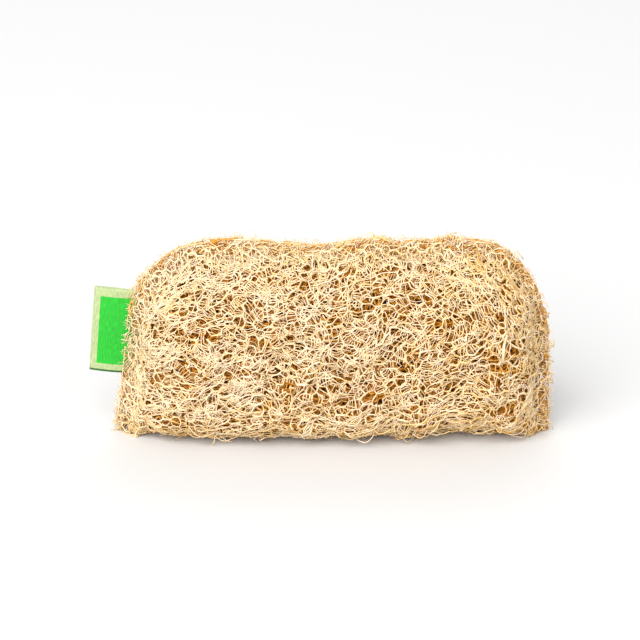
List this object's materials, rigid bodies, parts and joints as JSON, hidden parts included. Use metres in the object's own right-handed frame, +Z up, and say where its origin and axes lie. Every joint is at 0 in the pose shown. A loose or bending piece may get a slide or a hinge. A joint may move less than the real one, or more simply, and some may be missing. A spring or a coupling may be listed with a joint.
{
  "type": "natural loofah sponge",
  "caption": "Puffy D-shaped kitchen sponge of flattened loofah, folded along its base and sewn round the other sides, with a folded ribbon tab in its left seam.",
  "frame": {"origin": "middle of the flat spot that the sponge stands on, under the middle of its base and in the plane of its seam", "axes": "+Z up, +X along the sponge away from the ribbon tab, the front faces -Y"},
  "size_m": [0.1621, 0.0418, 0.0725],
  "materials": {
    "loofah": "matte dry plant fibre",
    "ribbon": "satin ribbon",
    "thread": "spun sewing thread"
  },
  "bodies": {
    "root": {"luffa_body": "loofah", "label_tab": "ribbon", "seam_thread_front": "thread", "seam_thread_back": "thread"}
  },
  "joints": []
}
